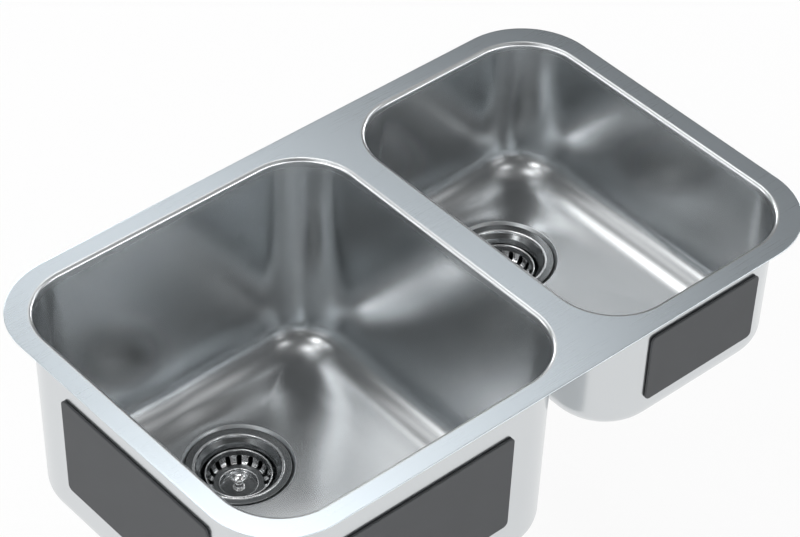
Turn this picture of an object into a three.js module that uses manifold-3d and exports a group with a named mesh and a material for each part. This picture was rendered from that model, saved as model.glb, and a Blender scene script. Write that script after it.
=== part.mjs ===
// Double bowl kitchen sink of pressed stainless steel, with a basket strainer in each bowl.
// Millimetres, +Z up. The origin is the middle of the divider, on the top face of the flange.
// +X runs from the large bowl to the small one, +Y towards the rear, where the drains are.

import * as THREE from 'three';
import { mergeVertices } from 'three/addons/utils/BufferGeometryUtils.js';
import Module from 'manifold-3d';

const wasm = await Module();
wasm.setup();

// ---- Driving dimensions ----

// Clearance between two pieces that touch on the real sink.
const touchGap = 0.3;

// Sheet, deck and bowls.
const sheetThickness = 1.2;
const flangeWidth = 25;
const deckCornerRadius = 84;
const dividerWidth = 39;
const bowlWidth = 406;
const bowlCornerRadius = 66;
const rimFillet = 4.2;
const floorFillet = 26;
const wallDraft = 0.02;
const largeBowl = { name: 'large', length: 385, depth: 248, floorFall: 9 };
const smallBowl = { name: 'small', length: 270, depth: 170, floorFall: 6 };

// Drain opening. Heights below are measured down from the floor at the edge of the recess.
const drainFromRear = 116.5;
const holeRadius = 45;
const recessDepth = 4;
const recessDish = 1.4;
const recessSlope = 3.4;

// Strainer body.
const flangeLap = 10;
const recessClearance = 0.8;
const flangeThickness = 1.3;
const sealThickness = 1.0;
const throatLap = 1.6;
const threadClearance = 2.5;
const cupWall = 5.1;
const cupTaper = 1.4;
const mouthDepth = 12.5;
const cupDepth = 39;
const seatDrop = 6.5;
const floorThickness = 4;
const outletClearance = 0.55;
const spigotWall = 4.2;
const spigotLength = 14;
const crossBarWidth = 4;
const crossBarHeight = 2.6;
const hubWall = 2.4;

// Rings that clamp the strainer body from below.
const gasketThickness = 3;
const frictionRingThickness = 1.2;
const clampRingWidth = 12;
const locknutHeight = 11;
const locknutWall = 4.5;
const locknutLugs = 6;
const lugReach = 5;
const lugWidth = 9;

// Tailpiece and the nut that holds it.
const tubeRadius = 19.05;
const tubeWall = 1.5;
const tubeLength = 100;
const tubeCollarThickness = 1.5;
const tubeWasherThickness = 2;
const couplingWall = 4.2;
const couplingLipThickness = 3;
const couplingGrip = 11;
const couplingRibs = 12;
const couplingRibDepth = 1.6;

// Basket, its post and its stopper.
const basketClearance = 1.8;
const basketSheet = 1;
const basketRimHeight = 2.2;
const basketTaper = 4.6;
const basketFillet = 4;
const wellRadius = 20.5;
const wellDepth = 7.5;
const slotCount = 16;
const slotWidth = 5.4;
const slotHeight = 10;
const postRadius = 2.6;
const knobRadius = 9.7;
const knobHeight = 7.5;
const knobBelowRim = 0.5;
const postCollarRadius = 5.2;
const stopperHeight = 6.6;
const stopperLap = 6.2;
const retainerRadius = 6;
const retainerHeight = 1.8;
const snapRingSection = 0.95;
const postTip = 4;

// Sound-deadening pads on the outside of the bowls.
const padThickness = 3;
const padShare = 0.56;
const padHeightShare = 0.5;

// Facets.
const cornerSteps = 6;
const sideSteps = 2;
const arcSteps = 4;
const rimSteps = 3;
const ringPoints = 4 * (cornerSteps + sideSteps);
const smallTurnSteps = 24;
const postTurnSteps = 16;

// ---- Derived sizes ----

const threadRadius = holeRadius - threadClearance;
const cupRadius = threadRadius - cupWall;
const cupBottomRadius = cupRadius - cupTaper;
const strainerFlangeRadius = holeRadius + flangeLap;
const recessRadius = strainerFlangeRadius + recessClearance;
const outletRadius = tubeRadius + outletClearance;
const spigotRadius = outletRadius + spigotWall;
const bowlFront = -bowlWidth / 2;
const bowlRear = bowlWidth / 2;
const drainY = bowlRear - drainFromRear;
largeBowl.centreX = -(dividerWidth + largeBowl.length) / 2;
smallBowl.centreX = (dividerWidth + smallBowl.length) / 2;

// ---- Materials ----

const brushedSteel = new THREE.MeshStandardMaterial({ color: 0xa9adb1, roughness: 0.34, metalness: 1 });
const polishedSteel = new THREE.MeshStandardMaterial({ color: 0xc8cacc, roughness: 0.14, metalness: 1 });
const platedMetal = new THREE.MeshStandardMaterial({ color: 0xb4b6b8, roughness: 0.28, metalness: 1 });
const blackRubber = new THREE.MeshStandardMaterial({ color: 0x1c1c1d, roughness: 0.8, metalness: 0 });
const greyPad = new THREE.MeshStandardMaterial({ color: 0x3a3c3e, roughness: 0.92, metalness: 0 });
const fibre = new THREE.MeshStandardMaterial({ color: 0x9a8a6c, roughness: 0.9, metalness: 0 });
const whitePlastic = new THREE.MeshStandardMaterial({ color: 0xe6e5df, roughness: 0.45, metalness: 0 });

// ---- Shape helpers ----

// A body turned about +Z from [radius, height] pairs, listed up the outside and down the inside.
function turned(profile, steps) {
  const points = profile.map(([radius, height]) => new THREE.Vector2(radius, height));
  if (profile[0][0] > 0) points.push(points[0].clone());
  const geometry = new THREE.LatheGeometry(points, steps);
  geometry.rotateX(Math.PI / 2);
  return geometry;
}

// A plain ring between two radii and two heights.
function ring(innerRadius, outerRadius, bottom, top, steps) {
  return turned([
    [outerRadius, bottom],
    [outerRadius, top],
    [innerRadius, top],
    [innerRadius, bottom],
  ], steps);
}

// Points along an arc, from one angle to the other, as [across, height] pairs.
function arc(centreRadius, centreHeight, size, fromDegrees, toDegrees, steps) {
  return Array.from({ length: steps + 1 }, (_, step) => {
    const angle = THREE.MathUtils.degToRad(fromDegrees + (toDegrees - fromDegrees) * step / steps);
    return [centreRadius + size * Math.cos(angle), centreHeight + size * Math.sin(angle)];
  });
}

// A solid disc or peg on the axis.
function peg(radius, bottom, top, steps) {
  return turned([[0, bottom], [radius, bottom], [radius, top], [0, top]], steps);
}

function box(width, length, bottom, top) {
  const geometry = new THREE.BoxGeometry(width, length, top - bottom);
  geometry.translate(0, 0, (bottom + top) / 2);
  return geometry;
}

function toSolid(geometry) {
  const bare = geometry.clone();
  bare.deleteAttribute('normal');
  bare.deleteAttribute('uv');
  const merged = mergeVertices(bare, 1e-4);
  return new wasm.Manifold(new wasm.Mesh({
    numProp: 3,
    vertProperties: new Float32Array(merged.attributes.position.array),
    triVerts: new Uint32Array(merged.index.array),
  }));
}

function toGeometry(solid) {
  const mesh = solid.getMesh();
  const geometry = new THREE.BufferGeometry();
  geometry.setAttribute('position', new THREE.BufferAttribute(mesh.vertProperties, 3));
  geometry.setIndex(new THREE.BufferAttribute(mesh.triVerts, 1));
  geometry.computeVertexNormals();
  return geometry;
}

function addAll(body, extras) {
  return toGeometry(extras.reduce((sum, extra) => sum.add(toSolid(extra)), toSolid(body)));
}

function cutAll(body, cutters) {
  return toGeometry(cutters.reduce((rest, cutter) => rest.subtract(toSolid(cutter)), toSolid(body)));
}

// Copies of a geometry turned evenly about +Z.
function aroundAxis(geometry, count) {
  return Array.from({ length: count }, (_, index) =>
    geometry.clone().rotateZ(index * 2 * Math.PI / count));
}

// A skin through rings of equal length. It closes on itself, or has a flat lid at each end.
function loft(rings, closesOnItself) {
  const count = rings[0].length;
  const vertices = rings.flat();
  const faces = [];
  const joins = closesOnItself ? rings.length : rings.length - 1;
  for (let row = 0; row < joins; row += 1) {
    const here = row * count;
    const next = ((row + 1) % rings.length) * count;
    for (let column = 0; column < count; column += 1) {
      const right = (column + 1) % count;
      faces.push(here + column, next + column, next + right);
      faces.push(here + column, next + right, here + right);
    }
  }
  if (!closesOnItself) {
    for (const [row, flip] of [[0, false], [rings.length - 1, true]]) {
      const middle = vertices.length;
      const sum = rings[row].reduce((total, point) => total.add(point), new THREE.Vector3());
      vertices.push(sum.divideScalar(count));
      for (let column = 0; column < count; column += 1) {
        const here = row * count + column;
        const right = row * count + (column + 1) % count;
        faces.push(...(flip ? [middle, right, here] : [middle, here, right]));
      }
    }
  }
  const geometry = new THREE.BufferGeometry().setFromPoints(vertices);
  geometry.setIndex(faces);
  return geometry;
}

// ---- Deck ----

function roundedRectangle(path, centreX, length, width, radius) {
  const x = length / 2 - radius;
  const y = width / 2 - radius;
  path.moveTo(centreX - x, -width / 2);
  path.absarc(centreX + x, -y, radius, -Math.PI / 2, 0);
  path.absarc(centreX + x, y, radius, 0, Math.PI / 2);
  path.absarc(centreX - x, y, radius, Math.PI / 2, Math.PI);
  path.absarc(centreX - x, -y, radius, Math.PI, Math.PI * 1.5);
  return path;
}

// The flat flange all round both bowls, with the divider between them.
function deckFlange() {
  const left = largeBowl.centreX - largeBowl.length / 2 - flangeWidth;
  const right = smallBowl.centreX + smallBowl.length / 2 + flangeWidth;
  const outline = roundedRectangle(
    new THREE.Shape(), (left + right) / 2, right - left, bowlWidth + 2 * flangeWidth, deckCornerRadius);
  const grow = rimFillet + touchGap;
  for (const bowl of [largeBowl, smallBowl]) {
    outline.holes.push(roundedRectangle(
      new THREE.Path(), bowl.centreX, bowl.length + 2 * grow, bowlWidth + 2 * grow,
      bowlCornerRadius + grow));
  }
  const sheet = new THREE.ExtrudeGeometry(outline, {
    depth: sheetThickness, bevelEnabled: false, curveSegments: cornerSteps / 2,
  });
  return sheet.translate(0, 0, -sheetThickness);
}

// ---- Bowls ----

// One level of a bowl's wall: a rectangle with round corners, from the middle of the front side
// anticlockwise, drawn in from the rim's size by the inset.
function wallRing(bowl, inset, height) {
  const radius = bowlCornerRadius - inset;
  const x = bowl.length / 2 - inset - radius;
  const y = bowlWidth / 2 - inset - radius;
  const corners = [[x, -y, -90], [x, y, 0], [-x, y, 90], [-x, -y, 180]];
  const arcs = corners.map(([cornerX, cornerY, start]) =>
    arc(bowl.centreX + cornerX, cornerY, radius, start, start + 90, cornerSteps));
  const outline = arcs.flatMap((points, index) => {
    const [endX, endY] = points.at(-1);
    const [nextX, nextY] = arcs[(index + 1) % arcs.length][0];
    const side = Array.from({ length: sideSteps - 1 }, (_, step) => {
      const share = (step + 1) / sideSteps;
      return [endX + (nextX - endX) * share, endY + (nextY - endY) * share];
    });
    return [...points, ...side];
  });
  const startsAtFront = [...outline.slice(-sideSteps / 2), ...outline.slice(0, -sideSteps / 2)];
  return startsAtFront.map(([pointX, pointY]) => new THREE.Vector3(pointX, pointY, height));
}

// One level of the drain recess: a circle about the drain's axis, starting at the front.
function drainRing(bowl, radius, height) {
  return Array.from({ length: ringPoints }, (_, index) => {
    const angle = 2 * Math.PI * index / ringPoints;
    return new THREE.Vector3(
      bowl.centreX + radius * Math.sin(angle), drainY - radius * Math.cos(angle), height);
  });
}

function drainLevel(bowl) {
  return -(bowl.depth + bowl.floorFall);
}

// The rings of one face of the pressed sheet, from the rim down to the drain hole.
// The skin is how far the face lies outside the face that the water touches.
function bowlFace(bowl, skin) {
  const wallBottom = floorFillet - bowl.depth;
  const wallInset = -wallDraft * (wallBottom + rimFillet);
  const floorLevel = drainLevel(bowl);
  const rim = arc(-rimFillet, -rimFillet, rimFillet - skin, 90, 0, rimSteps);
  const cove = arc(wallInset + floorFillet, wallBottom, floorFillet + skin, 180, 270, arcSteps);
  return [
    ...[...rim, ...cove].map(([inset, height]) => wallRing(bowl, inset, height)),
    drainRing(bowl, recessRadius + recessSlope + skin, floorLevel - skin),
    drainRing(bowl, recessRadius + skin, floorLevel - recessDepth - skin),
    drainRing(bowl, holeRadius, floorLevel - recessDepth - recessDish - skin),
  ];
}

function bowlShell(bowl) {
  return loft([...bowlFace(bowl, 0).reverse(), ...bowlFace(bowl, sheetThickness)], true);
}

// ---- Sound pads ----

// A pad of even thickness that lies on the outside of a bowl, within the block, pressed on from
// the given side.
function padOn(bowl, side, block) {
  const body = toSolid(loft(bowlFace(bowl, sheetThickness), false));
  const near = touchGap;
  const far = touchGap + padThickness;
  const outer = body.translate(side.x * far, side.y * far, side.z * far);
  const inner = body.translate(side.x * near, side.y * near, side.z * near);
  return toGeometry(toSolid(block).intersect(outer).subtract(inner));
}

function floorPad(bowl) {
  const length = bowl.length * padShare;
  const front = bowlFront + 2 * floorFillet;
  const rear = drainY - recessRadius - 2 * floorFillet / 3;
  const block = box(length, rear - front, drainLevel(bowl) - 3 * padThickness, floorFillet - bowl.depth);
  block.translate(bowl.centreX, (front + rear) / 2, 0);
  return padOn(bowl, new THREE.Vector3(0, 0, -1), block);
}

function wallPad(bowl, side) {
  const middle = -bowl.depth / 2;
  const halfHeight = bowl.depth * padHeightShare / 2;
  const reach = 4 * padThickness;
  const alongX = side.y !== 0;
  const length = (alongX ? bowl.length : bowlWidth) * padShare;
  const block = box(
    alongX ? length : 2 * reach, alongX ? 2 * reach : length, middle - halfHeight, middle + halfHeight);
  block.translate(bowl.centreX + side.x * bowl.length / 2, side.y * bowlWidth / 2, 0);
  return padOn(bowl, side, block);
}

// ---- Drain: heights are below the floor at the recess, on the drain's axis ----

// Top face of the recess floor, and the underside of the strainer's flange above the seal.
function recessFloor(radius) {
  return -recessDepth - recessDish * (recessRadius - radius) / (recessRadius - holeRadius);
}

function flangeUnderside(radius) {
  return recessFloor(radius) + sealThickness + 2 * touchGap;
}

const throatRadius = holeRadius + throatLap;
const throatHeight = flangeUnderside(throatRadius) + flangeThickness;
const seatHeight = -(cupDepth + seatDrop);
const spigotTop = seatHeight - floorThickness;
const spigotEnd = spigotTop - spigotLength;
const clampTop = recessFloor(holeRadius) - sheetThickness - touchGap;
const gasketBottom = clampTop - gasketThickness;
const frictionTop = gasketBottom - touchGap;
const frictionBottom = frictionTop - frictionRingThickness;
const locknutTop = frictionBottom - touchGap;
const clampInner = threadRadius + 2 * touchGap;
const clampOuter = clampInner + clampRingWidth;
const crossTop = seatHeight - touchGap;
const crossBottom = crossTop - crossBarHeight;

// The post's snap ring grips in this hole at the middle of the cross.
const snapRingOuter = postRadius + touchGap + 2 * snapRingSection;
const hubHoleRadius = snapRingOuter + touchGap;

function strainerBody() {
  const mouthRadius = cupRadius + 0.8;
  const edge = strainerFlangeRadius;
  const drop = mouthDepth + throatHeight;
  const width = throatRadius - mouthRadius;
  const cup = turned([
    [spigotRadius, spigotEnd],
    [spigotRadius, spigotTop],
    [cupBottomRadius - 2, seatHeight],
    [threadRadius, -cupDepth + 2],
    [threadRadius, clampTop - touchGap],
    [holeRadius - 0.6, flangeUnderside(holeRadius) - 1],
    [throatRadius - 0.4, flangeUnderside(throatRadius)],
    [edge - 0.7, flangeUnderside(edge - 0.7)],
    [edge, flangeUnderside(edge) + 0.5],
    [edge - 0.7, flangeUnderside(edge) + flangeThickness],
    [throatRadius + 0.4, throatHeight],
    [throatRadius - 0.3 * width, throatHeight - 0.15 * drop],
    [throatRadius - 0.75 * width, throatHeight - 0.55 * drop],
    [mouthRadius, -mouthDepth],
    [cupRadius, -mouthDepth - 2.5],
    [cupBottomRadius, -cupDepth + 3],
    [outletRadius + stopperLap, -cupDepth - seatDrop / 2],
    [outletRadius, seatHeight],
    [outletRadius, spigotEnd],
  ], ringPoints);
  const reach = 2 * (outletRadius + spigotWall / 2);
  const crossBar = box(reach, crossBarWidth, crossBottom, crossTop);
  const hub = ring(hubHoleRadius, hubHoleRadius + hubWall, crossBottom, crossTop, smallTurnSteps);
  const hubHole = peg(hubHoleRadius, crossBottom - 1, crossTop + 1, smallTurnSteps);
  const bars = aroundAxis(crossBar, 4).slice(0, 2).map((bar) => cutAll(bar, [hubHole]));
  return addAll(cup, [...bars, hub]);
}

// Putty ring between the strainer's flange and the recess.
function flangeSeal() {
  const inner = throatRadius + 0.4;
  const outer = strainerFlangeRadius - 1.5;
  return turned([
    [outer, recessFloor(outer) + touchGap],
    [outer, recessFloor(outer) + touchGap + sealThickness],
    [inner, recessFloor(inner) + touchGap + sealThickness],
    [inner, recessFloor(inner) + touchGap],
  ], ringPoints);
}

// Rubber ring under the bowl, moulded to the slope of the recess.
function clampGasket() {
  const underside = (radius) => recessFloor(radius) - sheetThickness - touchGap;
  return turned([
    [clampOuter, gasketBottom],
    [clampOuter, underside(clampOuter)],
    [holeRadius, underside(holeRadius)],
    [clampInner, underside(holeRadius)],
    [clampInner, gasketBottom],
  ], ringPoints);
}

function frictionRing() {
  return ring(clampInner, clampOuter, frictionBottom, frictionTop, ringPoints);
}

function locknut() {
  const inner = threadRadius + touchGap;
  const shoulder = locknutTop - 3;
  const body = turned([
    [inner + locknutWall, locknutTop - locknutHeight],
    [inner + locknutWall, shoulder],
    [clampOuter, shoulder],
    [clampOuter, locknutTop],
    [inner, locknutTop],
    [inner, locknutTop - locknutHeight],
  ], ringPoints);
  const lug = box(lugWidth, lugReach + 1, locknutTop - locknutHeight + 1, shoulder + 1);
  lug.translate(0, -(inner + locknutWall + (lugReach - 1) / 2), 0);
  return addAll(body, aroundAxis(lug, locknutLugs));
}

// ---- Tailpiece ----

const washerTop = spigotEnd - touchGap;
const collarTop = washerTop - tubeWasherThickness - touchGap;
const collarBottom = collarTop - tubeCollarThickness;
const tubeInner = tubeRadius - tubeWall;
const tubeEnd = collarBottom - tubeLength;

function tailpieceWasher() {
  return ring(tubeRadius, spigotRadius - touchGap, washerTop - tubeWasherThickness, washerTop, smallTurnSteps);
}

function tailpiece() {
  return turned([
    [tubeRadius, tubeEnd],
    [tubeRadius, collarBottom],
    [spigotRadius - 2 * touchGap, collarBottom],
    [spigotRadius - 2 * touchGap, collarTop],
    [tubeInner + 1, collarTop],
    [tubeInner, collarTop - 1],
    [tubeInner, tubeEnd],
  ], smallTurnSteps);
}

function couplingNut() {
  const inner = spigotRadius + 2 * touchGap;
  const outer = inner + couplingWall;
  const lipTop = collarBottom - touchGap;
  const bottom = lipTop - couplingLipThickness;
  const top = spigotEnd + couplingGrip;
  const body = turned([
    [outer - 2, bottom],
    [outer, bottom + 2],
    [outer, top],
    [inner, top],
    [inner, lipTop],
    [tubeRadius + touchGap, lipTop],
    [tubeRadius + touchGap, bottom],
  ], smallTurnSteps);
  const ribWidth = Math.PI * outer / couplingRibs * 0.6;
  const rib = box(ribWidth, 2 * couplingRibDepth, bottom + 3, top - 1);
  rib.translate(0, -outer, 0);
  return addAll(body, aroundAxis(rib, couplingRibs));
}

// ---- Basket ----

// The stopper sits on the seat, and the well in the basket's floor lies on the stopper.
const stopperLow = -cupDepth - seatDrop / 2 + touchGap;
const stopperTop = stopperLow + stopperHeight;
const stopperOuter = outletRadius + stopperLap;
const stopperBottom = stopperLow - 1;
const wellFloor = stopperTop + touchGap;
const basketFloor = wellFloor + wellDepth;
const basketTopRadius = cupRadius - basketClearance;
const basketRimTop = -mouthDepth + touchGap;
const basketFloorRadius = basketTopRadius - basketTaper;
const postHoleRadius = postRadius + touchGap;

function basketBowl() {
  const inside = basketTopRadius - basketSheet - 0.6;
  const floorTop = basketFloor + basketSheet;
  const bowl = turned([
    [postHoleRadius, wellFloor],
    [wellRadius - 1.8, wellFloor],
    [wellRadius, wellFloor + 1.8],
    [wellRadius, basketFloor],
    [basketFloorRadius - basketFillet, basketFloor],
    [basketFloorRadius, basketFloor + basketFillet],
    [basketTopRadius - 0.6, basketRimTop - basketRimHeight],
    [basketTopRadius, basketRimTop - basketRimHeight / 2],
    [basketTopRadius - 0.8, basketRimTop],
    [inside, basketRimTop - 0.5],
    [basketFloorRadius - basketSheet, basketFloor + basketFillet + 0.4],
    [basketFloorRadius - basketFillet - 0.4, floorTop],
    [wellRadius, floorTop],
    [wellRadius - basketSheet, floorTop - basketSheet],
    [wellRadius - basketSheet, wellFloor + 2.2],
    [wellRadius - 2.2, wellFloor + basketSheet],
    [postHoleRadius, wellFloor + basketSheet],
  ], ringPoints);
  const slot = box(slotWidth, 3 * basketFillet, basketFloor - 1, basketFloor + slotHeight);
  slot.translate(0, -basketFloorRadius, 0);
  slot.rotateZ(Math.PI / ringPoints);
  return cutAll(bowl, aroundAxis(slot, slotCount));
}

const retainerTop = stopperBottom - touchGap;
const snapRingMiddle = (crossTop + crossBottom) / 2;
const postEnd = crossBottom - postTip;

// Knob, ringed neck and the rod that goes down through the stopper to the cross.
function basketPost() {
  const knobTop = basketRimTop - knobBelowRim;
  const knobBase = knobTop - knobHeight;
  const foot = wellFloor + basketSheet + touchGap;
  const neck = knobBase - foot;
  return turned([
    [0, postEnd],
    [postRadius * 0.5, postEnd],
    [postRadius, postEnd + 1.5],
    [postRadius, foot],
    [postCollarRadius * 1.3, foot],
    [postCollarRadius * 1.3, foot + neck * 0.12],
    [postCollarRadius * 0.8, foot + neck * 0.22],
    [postCollarRadius * 0.8, foot + neck * 0.62],
    [postCollarRadius, foot + neck * 0.76],
    [postCollarRadius * 0.9, foot + neck * 0.9],
    [knobRadius * 0.72, knobBase + 0.3],
    [knobRadius, knobBase + knobHeight * 0.4],
    [knobRadius * 0.8, knobBase + knobHeight * 0.8],
    [0, knobTop],
  ], postTurnSteps);
}

function stopper() {
  return turned([
    [postHoleRadius, stopperBottom],
    [outletRadius - 1, stopperBottom],
    [stopperOuter, stopperLow + 0.4],
    [stopperOuter + 0.6, stopperLow + 1.6],
    [wellRadius - 2, stopperTop],
    [postHoleRadius, stopperTop],
  ], smallTurnSteps);
}

function stopperRetainer() {
  const hexagon = peg(retainerRadius, retainerTop - retainerHeight, retainerTop, 6);
  const hole = peg(postHoleRadius, retainerTop - retainerHeight - 1, retainerTop + 1, postTurnSteps);
  return cutAll(hexagon, [hole]);
}

function snapRing() {
  const section = arc(postHoleRadius + snapRingSection, snapRingMiddle, snapRingSection, 0, 300, 5);
  return turned(section, postTurnSteps);
}

// ---- Assembly ----

const sink = new THREE.Group();

function place(parent, name, geometry, material) {
  const mesh = new THREE.Mesh(geometry, material);
  mesh.name = name;
  parent.add(mesh);
}

function placeBowl(bowl) {
  place(sink, `${bowl.name}_bowl`, bowlShell(bowl), brushedSteel);
  place(sink, `${bowl.name}_floor_pad`, floorPad(bowl), greyPad);
  const endSide = new THREE.Vector3(Math.sign(bowl.centreX), 0, 0);
  place(sink, `${bowl.name}_end_pad`, wallPad(bowl, endSide), greyPad);
  place(sink, `${bowl.name}_front_pad`, wallPad(bowl, new THREE.Vector3(0, -1, 0)), greyPad);
  place(sink, `${bowl.name}_rear_pad`, wallPad(bowl, new THREE.Vector3(0, 1, 0)), greyPad);
}

function placeDrain(bowl) {
  const drain = new THREE.Group();
  drain.position.set(bowl.centreX, drainY, drainLevel(bowl));
  sink.add(drain);
  const pieces = [
    ['strainer_body', strainerBody(), polishedSteel],
    ['flange_seal', flangeSeal(), whitePlastic],
    ['clamp_gasket', clampGasket(), blackRubber],
    ['friction_ring', frictionRing(), fibre],
    ['locknut', locknut(), platedMetal],
    ['tailpiece_washer', tailpieceWasher(), whitePlastic],
    ['tailpiece', tailpiece(), platedMetal],
    ['coupling_nut', couplingNut(), platedMetal],
    ['basket', basketBowl(), polishedSteel],
    ['basket_post', basketPost(), polishedSteel],
    ['stopper', stopper(), blackRubber],
    ['stopper_retainer', stopperRetainer(), platedMetal],
    ['snap_ring', snapRing(), blackRubber],
  ];
  for (const [name, geometry, material] of pieces) {
    place(drain, `${bowl.name}_${name}`, geometry, material);
  }
}

place(sink, 'deck_flange', deckFlange(), brushedSteel);
for (const bowl of [largeBowl, smallBowl]) {
  placeBowl(bowl);
  placeDrain(bowl);
}

export default sink;
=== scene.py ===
import bmesh
import bpy
import math
from mathutils import Matrix, Vector


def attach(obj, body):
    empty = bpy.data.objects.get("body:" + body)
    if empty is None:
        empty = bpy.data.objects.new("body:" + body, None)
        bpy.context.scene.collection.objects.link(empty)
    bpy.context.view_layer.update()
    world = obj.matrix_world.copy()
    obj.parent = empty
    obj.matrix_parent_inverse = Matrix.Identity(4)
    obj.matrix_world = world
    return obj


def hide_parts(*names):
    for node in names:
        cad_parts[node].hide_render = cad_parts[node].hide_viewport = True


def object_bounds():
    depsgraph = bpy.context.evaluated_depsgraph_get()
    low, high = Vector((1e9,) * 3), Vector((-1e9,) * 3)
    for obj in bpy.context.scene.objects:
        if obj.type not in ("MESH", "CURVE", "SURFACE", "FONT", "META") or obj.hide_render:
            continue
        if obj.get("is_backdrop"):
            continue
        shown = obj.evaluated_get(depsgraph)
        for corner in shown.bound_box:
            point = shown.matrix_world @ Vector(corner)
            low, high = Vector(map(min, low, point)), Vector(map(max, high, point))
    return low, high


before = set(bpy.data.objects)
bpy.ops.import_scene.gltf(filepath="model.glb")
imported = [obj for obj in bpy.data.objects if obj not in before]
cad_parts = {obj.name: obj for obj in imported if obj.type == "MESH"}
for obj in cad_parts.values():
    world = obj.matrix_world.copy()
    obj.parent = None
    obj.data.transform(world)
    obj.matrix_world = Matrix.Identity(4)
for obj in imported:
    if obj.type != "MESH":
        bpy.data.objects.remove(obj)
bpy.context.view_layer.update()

scene = bpy.context.scene
mm = 0.001
pieceCount = 0


# The camera: where the sink is seen from, in metres.
cameraSettings = {
    "place": (-1.56695, -1.64523, 1.96735),
    "aim": (-0.07628, -0.00355, 0.0),
    "lean": 1.78,           # degrees, the camera turned about its own line of sight
    "focalLength": 135.2,
    "sensorWidth": 36.0,
}


def makeCamera(values):
    data = bpy.data.cameras.new("camera")
    data.lens = values["focalLength"]
    data.sensor_width = values["sensorWidth"]
    camera = bpy.data.objects.new("camera", data)
    scene.collection.objects.link(camera)
    place = Vector(values["place"])
    forward = (Vector(values["aim"]) - place).normalized()
    right = forward.cross(Vector((0, 0, 1))).normalized()
    up = right.cross(forward)
    lean = math.radians(values["lean"])
    leaningRight = right * math.cos(lean) + up * math.sin(lean)
    leaningUp = up * math.cos(lean) - right * math.sin(lean)
    turn = Matrix((leaningRight, leaningUp, -forward)).transposed()
    camera.matrix_world = Matrix.Translation(place) @ turn.to_4x4()
    scene.camera = camera


makeCamera(cameraSettings)
print("camera in place")


# Makes a mesh a smooth piece with one finish.
def finishMesh(name, mesh, material):
    creaseAngle = 35        # degrees, edges sharper than this stay sharp
    mesh.materials.clear()
    mesh.materials.append(material)
    for face in mesh.polygons:
        face.use_smooth = True
    mesh.set_sharp_from_angle(angle=math.radians(creaseAngle))
    piece = bpy.data.objects.new(name, mesh)
    scene.collection.objects.link(piece)
    return piece


# Gives the faces that the test picks a second finish. It is told how far a face is from the
# drain's axis and how high it is over the recess lip, in millimetres.
def addAccent(piece, material, drain, picks):
    piece.data.materials.append(material)
    for face in piece.data.polygons:
        offset = (face.center - drain) / mm
        if picks(math.hypot(offset.x, offset.y), offset.z):
            face.material_index = 1


def settle(piece, body, slot, *nodes):
    global pieceCount
    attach(piece, body)
    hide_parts(*nodes)
    pieceCount += 1
    return piece


# A skin through rows of points, each row a closed loop. The rows close on themselves, or a row
# that is one point closes the skin there.
def skinMesh(name, rows, closesOnItself=False, brush=None):
    mesh = bpy.data.meshes.new(name)
    build = bmesh.new()
    corners = [[build.verts.new(point) for point in row] for row in rows]
    layer = build.loops.layers.uv.new("brush") if brush else None
    pairs = list(zip(range(len(rows) - 1), range(1, len(rows))))
    if closesOnItself:
        pairs.append((len(rows) - 1, 0))
    for here, after in pairs:
        count = max(len(corners[here]), len(corners[after]))
        for column in range(count):
            following = (column + 1) % count
            spots = [(here, column), (here, following), (after, following), (after, column)]
            spots = [(row, 0 if len(corners[row]) == 1 else place) for row, place in spots]
            loop = []
            for spot in spots:
                if spot not in loop:
                    loop.append(spot)
            if len(loop) < 3:
                continue
            face = build.faces.new([corners[row][place] for row, place in loop])
            if layer:
                for edge, (row, place) in zip(face.loops, loop):
                    wraps = following == 0 and place == 0
                    edge[layer].uv = brush(row, count if wraps else place)
    build.to_mesh(mesh)
    build.free()
    return mesh


def arcPoints(centre, size, fromDegrees, toDegrees, steps):
    angles = [math.radians(fromDegrees + (toDegrees - fromDegrees) * step / steps)
              for step in range(steps + 1)]
    return [(centre[0] + size * math.cos(angle), centre[1] + size * math.sin(angle))
            for angle in angles]


# Rounds the corners of an outline. A point is (across, up) or (across, up, radius of its corner).
def softOutline(points, closed=True, steps=4):
    mostOfSide = 0.48       # a corner's curve takes no more of the side next to it
    soft = []
    count = len(points)
    for index, point in enumerate(points):
        here = Vector(point[:2])
        radius = point[2] if len(point) > 2 else 0
        atEnd = not closed and index in (0, count - 1)
        if radius == 0 or atEnd:
            soft.append(tuple(here))
            continue
        before = Vector(points[index - 1][:2]) - here
        after = Vector(points[(index + 1) % count][:2]) - here
        opening = before.angle(after)
        reach = min(radius / math.tan(opening / 2), mostOfSide * min(before.length, after.length))
        start = here + before.normalized() * reach
        end = here + after.normalized() * reach
        for step in range(steps + 1):
            share = step / steps
            bend = start.lerp(here, share).lerp(here.lerp(end, share), share)
            soft.append(tuple(bend))
    return soft


def roundLoop(radius, height, steps):
    if radius < 1e-6:       # a point on the axis
        return [(0, 0, height * mm)]
    return [(radius * mm * math.cos(turn), radius * mm * math.sin(turn), height * mm)
            for turn in (2 * math.pi * step / steps for step in range(steps))]


# A body turned about +Z, in millimetres about its own axis, from an outline listed up the
# outside and down the inside.
def turnedMesh(name, outline, steps=96):
    closed = outline[0][0] > 0
    rows = [roundLoop(radius, height, steps) for radius, height in softOutline(outline, closed)]
    return skinMesh(name, rows, closed)


# The centres of a rectangle's four round corners, and the angles at which their curves start.
def roundCorners(x, y):
    return [(x, -y, -90), (x, y, 0), (-x, y, 90), (-x, -y, 180)]


# An empty node tree for a material, the world or a lamp.
def emptyTree(owner):
    owner.use_nodes = True
    owner.node_tree.nodes.clear()
    return owner.node_tree


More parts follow.
